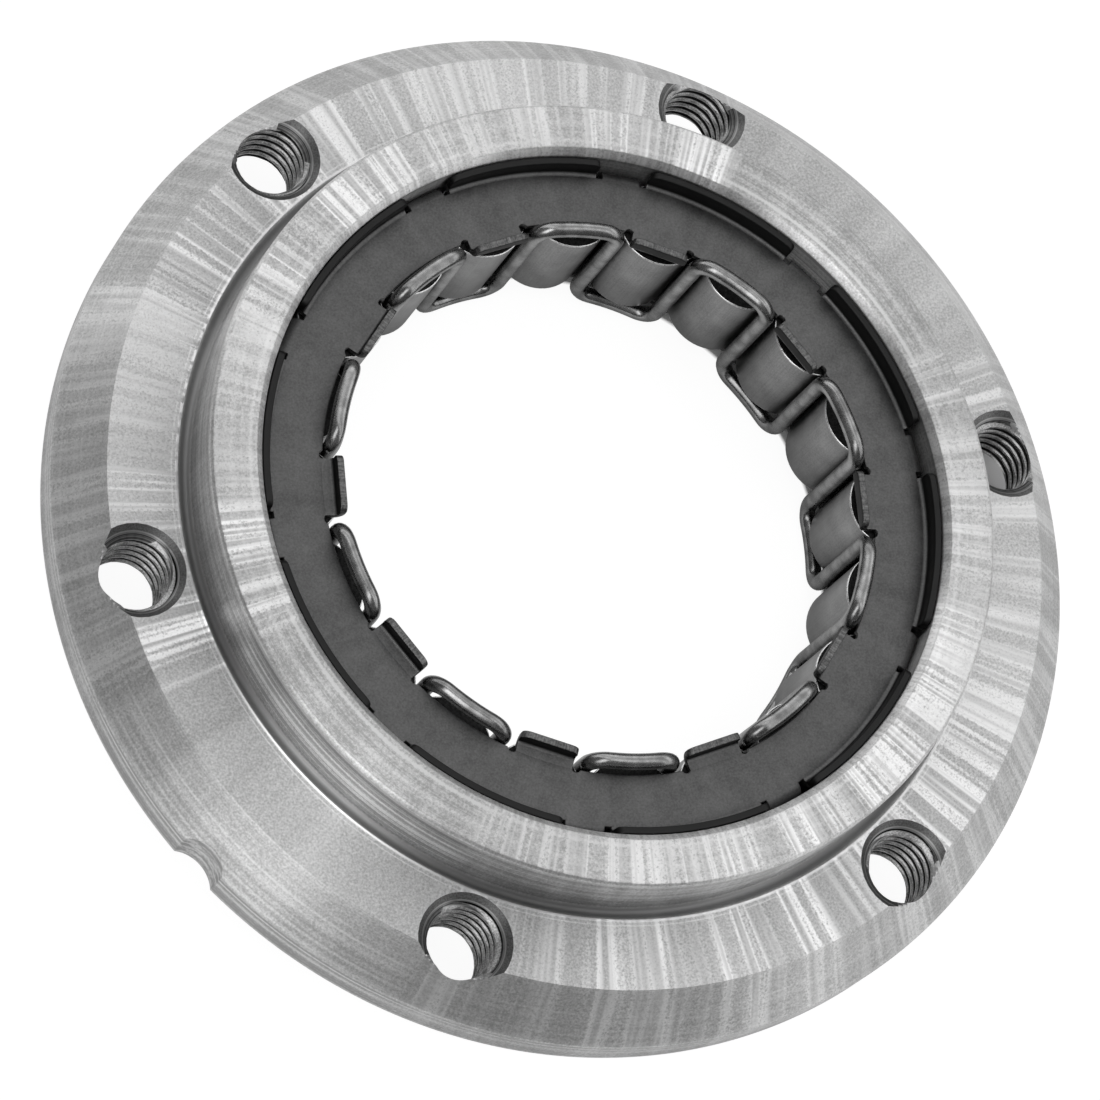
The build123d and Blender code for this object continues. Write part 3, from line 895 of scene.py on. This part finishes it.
def floor_material():
    """Pale floor, mostly its own white so that the page stays white, with a little of
    the dome's light in it to carry the shadow. Under the cage, between the bore and the
    cage's inner edge, it has no white of its own, and none under the screw hole on +X,
    which shows no light. Reflections see it duller inside the ring, and dullest by the
    sprags: painted shade in the reflected floor."""
    made = bpy.data.materials.new("pale_floor")
    made.use_nodes = True
    tree = made.node_tree
    tree.nodes.clear()
    rays = tree.nodes.new("ShaderNodeLightPath")
    seen = maths(tree, "MAXIMUM", rays.outputs["Is Camera Ray"], rays.outputs["Is Glossy Ray"])
    seen = maths(tree, "MAXIMUM", seen, rays.outputs["Is Transmission Ray"])
    place, radius, _, _ = around_axis(tree)
    open_floor = ramp(tree, radius, 0.0287, 0.0291, 1.0, 0.0)
    open_floor = maths(tree, "ADD", open_floor, ramp(tree, radius, 0.0347, 0.0350))
    parts = tree.nodes.new("ShaderNodeSeparateXYZ")
    put(parts.inputs[0], place, tree)
    aside = maths(tree, "ABSOLUTE", parts.outputs[1])
    under = ramp(tree, parts.outputs[0], 0.040, 0.0402)
    under = maths(tree, "MULTIPLY", under, ramp(tree, radius, 0.0520, 0.0522, 1.0, 0.0))
    under = maths(tree, "MULTIPLY", under, ramp(tree, aside, 0.006, 0.0062, 1.0, 0.0))
    open_floor = maths(tree, "MULTIPLY", open_floor, maths(tree, "SUBTRACT", 1.0, under))
    # Painted shade: the floor as reflections see it is darker inside the ring and darkest by the sprags.
    dull = ramp(tree, radius, 0.018, 0.0275, 0.75, 0.16)
    dull = maths(tree, "ADD", dull, ramp(tree, radius, 0.035, 0.050, 0.0, 0.42))
    dull = maths(tree, "ADD", dull, ramp(tree, radius, 0.055, 0.068, 0.0, 0.45))
    glossy = maths(tree, "SUBTRACT", 1.0, rays.outputs["Is Camera Ray"])
    strength = maths(tree, "MULTIPLY", rays.outputs["Is Camera Ray"], 1.16)
    strength = maths(tree, "ADD", maths(tree, "MULTIPLY", glossy, dull), strength)
    paint = node(tree, "BsdfDiffuse", {"Color": grey(0.85)})
    glow = node(tree, "Emission", {"Color": grey(1.0), "Strength": strength})
    share = maths(tree, "MULTIPLY", maths(tree, "MULTIPLY", seen, 0.80), open_floor)
    mixed = node(tree, "MixShader", (share, paint, glow))
    out = tree.nodes.new("ShaderNodeOutputMaterial")
    put(out.inputs[0], mixed, tree)
    return made


floor_mesh = bpy.data.meshes.new("studio_floor")
far = 3.0
corners = [(-far, -far, 0), (far, -far, 0), (far, far, 0), (-far, far, 0)]
floor_mesh.from_pydata(corners, [], [(0, 1, 2, 3)])
floor_mesh.materials.append(floor_material())
floor = bpy.data.objects.new("studio_floor", floor_mesh)
bpy.context.scene.collection.objects.link(floor)


def dome():
    """Dome light: plain white where the camera sees it. In reflections it is a grey room
    with a pale back wall, two long strips of light across it and a softbox above the
    camera. The tilt is the angle from straight up, positive away from the camera."""
    world = bpy.data.worlds.new("studio_dome")
    bpy.context.scene.world = world
    world.use_nodes = True
    tree = world.node_tree
    tree.nodes.clear()
    way = node(tree, "TexCoord", out=0)
    view_side = (-view_way[1], view_way[0], 0.0)
    back = node(tree, "VectorMath", (way, view_way), operation="DOT_PRODUCT", out=1)
    side = node(tree, "VectorMath", (way, view_side), operation="DOT_PRODUCT", out=1)
    rise = tree.nodes.new("ShaderNodeSeparateXYZ")
    put(rise.inputs[0], way, tree)
    tilt = maths(tree, "ARCTAN2", back, rise.outputs[2])
    halo = band(tree, tilt, -0.05, 0.05, 1.0, 1.15)
    first = band(tree, tilt, -0.04, 0.02, 0.29, 0.33)
    second = band(tree, tilt, 0.65, 0.69, 1.05, 1.15)
    strips = maths(tree, "ADD", first, second)
    strips = maths(tree, "MULTIPLY", strips, ramp(tree, maths(tree, "ABSOLUTE", side), 0.04, 0.22, 0.20, 1.0))
    box = band(tree, tilt, -1.2, -0.9, -0.30, -0.15)
    box = maths(tree, "MULTIPLY", box, ramp(tree, maths(tree, "ABSOLUTE", side), 0.12, 0.32, 1.0, 0.0))
    level = maths(tree, "ADD", 0.15, maths(tree, "MULTIPLY", halo, 0.49))
    level = maths(tree, "ADD", level, maths(tree, "MULTIPLY", strips, 0.75))
    level = maths(tree, "ADD", level, maths(tree, "MULTIPLY", box, 2.4))
    rays = tree.nodes.new("ShaderNodeLightPath")
    unseen = maths(tree, "SUBTRACT", 1.0, rays.outputs["Is Camera Ray"])
    level = maths(tree, "ADD", maths(tree, "MULTIPLY", level, unseen), rays.outputs["Is Camera Ray"])
    out = tree.nodes.new("ShaderNodeOutputWorld")
    put(out.inputs[0], node(tree, "Background", {"Color": grey(1.0), "Strength": level}), tree)


dome()

eye = Vector((-0.18190, -0.12510, 0.42005))
right = Vector((0.91524, -0.23840, 0.32482)).normalized()
ahead = Vector((0.38283, 0.26316, -0.88555)).normalized()
right = (right - ahead * right.dot(ahead)).normalized()
above = right.cross(ahead)
lens = bpy.data.cameras.new("photo_camera")
lens.sensor_width = 36.0
lens.lens = 156.2
lens.clip_end = 20.0
camera = bpy.data.objects.new("photo_camera", lens)
bpy.context.scene.collection.objects.link(camera)
turn = Matrix((right, above, -ahead)).transposed().to_4x4()
camera.matrix_world = Matrix.Translation(eye) @ turn
bpy.context.scene.camera = camera
bpy.context.scene.view_settings.view_transform = "Standard"
